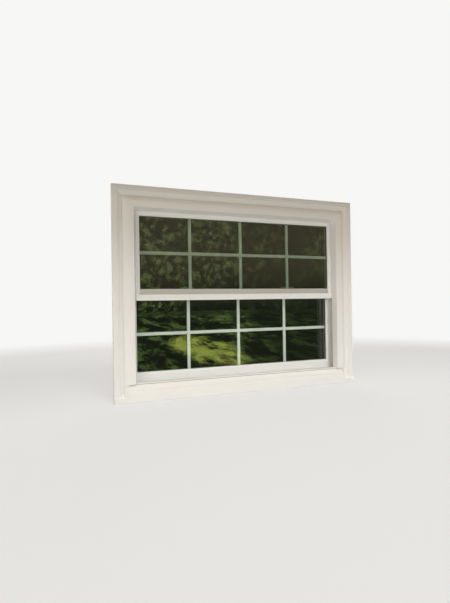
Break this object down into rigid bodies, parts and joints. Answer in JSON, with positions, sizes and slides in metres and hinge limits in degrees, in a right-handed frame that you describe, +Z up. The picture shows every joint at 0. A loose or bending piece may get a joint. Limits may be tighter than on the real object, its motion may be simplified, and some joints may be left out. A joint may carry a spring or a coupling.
{
  "type": "sash window",
  "caption": "Double-hung sash window in a moulded frame: both sashes slide, with grilles between the panes, cam locks, tilt latches and spiral balances.",
  "frame": {"origin": "middle of the frame's underside, in the plane of the wall's outer face", "axes": "+X to the right seen from outside, +Y inwards through the wall, +Z up"},
  "size_m": [1.41, 0.14, 1.08],
  "materials": {
    "frame_white": "satin",
    "casing_white": "satin",
    "sash_white": "satin",
    "bead_grey": "satin",
    "glass_outer_upper": "polished",
    "glass_inner_upper": "polished",
    "glass_outer_lower": "polished",
    "glass_inner_lower": "polished",
    "spacer_metal": "satin",
    "grille_upper": "satin",
    "grille_lower": "satin",
    "pile": "fuzzy",
    "shoe_plastic": "matte",
    "rod_steel": "brushed",
    "tube_white": "gloss",
    "screw_steel": "brushed",
    "pivot_zinc": "cast",
    "lock_enamel": "gloss",
    "latch_plastic": "gloss"
  },
  "bodies": {
    "frame": {"frame_head": "frame_white", "frame_sill": "frame_white", "frame_jamb_left": "frame_white", "frame_jamb_right": "frame_white", "casing_head": "casing_white", "casing_left": "casing_white", "casing_right": "casing_white", "sill_nosing": "casing_white", "upper_balance_tube_left": "tube_white", "upper_balance_tube_right": "tube_white", "lower_balance_tube_left": "tube_white", "lower_balance_tube_right": "tube_white", "balance_screws": "screw_steel"},
    "upper_sash": {"upper_top_rail": "sash_white", "upper_meeting_rail": "sash_white", "keeper_left": "lock_enamel", "keeper_right": "lock_enamel", "upper_stile_left": "sash_white", "upper_stile_right": "sash_white", "upper_outer_pane": "glass_outer_upper", "upper_inner_pane": "glass_inner_upper", "upper_spacer": "spacer_metal", "upper_grille": "grille_upper", "upper_bead_top": "sash_white", "upper_bead_bottom": "bead_grey", "upper_bead_left": "sash_white", "upper_bead_right": "sash_white", "upper_shoe_left": "shoe_plastic", "upper_shoe_right": "shoe_plastic", "upper_pivot_bars": "pivot_zinc", "upper_spiral_rod_left": "rod_steel", "upper_spiral_rod_right": "rod_steel", "upper_weatherstrip": "pile"},
    "lower_sash": {"lower_lock_rail": "sash_white", "lower_bottom_rail": "sash_white", "lock_housing_left": "lock_enamel", "lock_housing_right": "lock_enamel", "lock_screws": "screw_steel", "lower_stile_left": "sash_white", "lower_stile_right": "sash_white", "lower_outer_pane": "glass_outer_lower", "lower_inner_pane": "glass_inner_lower", "lower_spacer": "spacer_metal", "lower_grille": "grille_lower", "lower_bead_top": "sash_white", "lower_bead_bottom": "sash_white", "lower_bead_left": "sash_white", "lower_bead_right": "sash_white", "lower_shoe_left": "shoe_plastic", "lower_shoe_right": "shoe_plastic", "lower_pivot_bars": "pivot_zinc", "lower_spiral_rod_left": "rod_steel", "lower_spiral_rod_right": "rod_steel", "lower_weatherstrip": "pile"},
    "lock_cam_left": {"lock_cam_left": "lock_enamel"},
    "lock_cam_right": {"lock_cam_right": "lock_enamel"},
    "upper_latch_left": {"upper_latch_left": "latch_plastic"},
    "upper_latch_right": {"upper_latch_right": "latch_plastic"},
    "lower_latch_left": {"lower_latch_left": "latch_plastic"},
    "lower_latch_right": {"lower_latch_right": "latch_plastic"}
  },
  "joints": [
    {"name": "upper_slide", "type": "slide", "parent": "frame", "child": "upper_sash", "axis": [0, 0, -1], "range_m": [0, 0.35]},
    {"name": "lower_slide", "type": "slide", "parent": "frame", "child": "lower_sash", "axis": [0, 0, 1], "range_m": [0, 0.35]},
    {"name": "lock_left_turn", "type": "hinge", "parent": "lower_sash", "child": "lock_cam_left", "pos_m": [-0.31, 0.072, 0.5164], "axis": [0, 0, -1], "range_deg": [0, 82]},
    {"name": "lock_right_turn", "type": "hinge", "parent": "lower_sash", "child": "lock_cam_right", "pos_m": [0.31, 0.072, 0.5164], "axis": [0, 0, -1], "range_deg": [0, 82]},
    {"name": "upper_latch_left_slide", "type": "slide", "parent": "upper_sash", "child": "upper_latch_left", "axis": [1, 0, 0], "range_m": [0, 0.01], "stiffness_N_per_m": 200, "springref_m": -0.005},
    {"name": "upper_latch_right_slide", "type": "slide", "parent": "upper_sash", "child": "upper_latch_right", "axis": [-1, 0, 0], "range_m": [0, 0.01], "stiffness_N_per_m": 200, "springref_m": -0.005},
    {"name": "lower_latch_left_slide", "type": "slide", "parent": "lower_sash", "child": "lower_latch_left", "axis": [1, 0, 0], "range_m": [0, 0.01], "stiffness_N_per_m": 200, "springref_m": -0.005},
    {"name": "lower_latch_right_slide", "type": "slide", "parent": "lower_sash", "child": "lower_latch_right", "axis": [-1, 0, 0], "range_m": [0, 0.01], "stiffness_N_per_m": 200, "springref_m": -0.005}
  ]
}
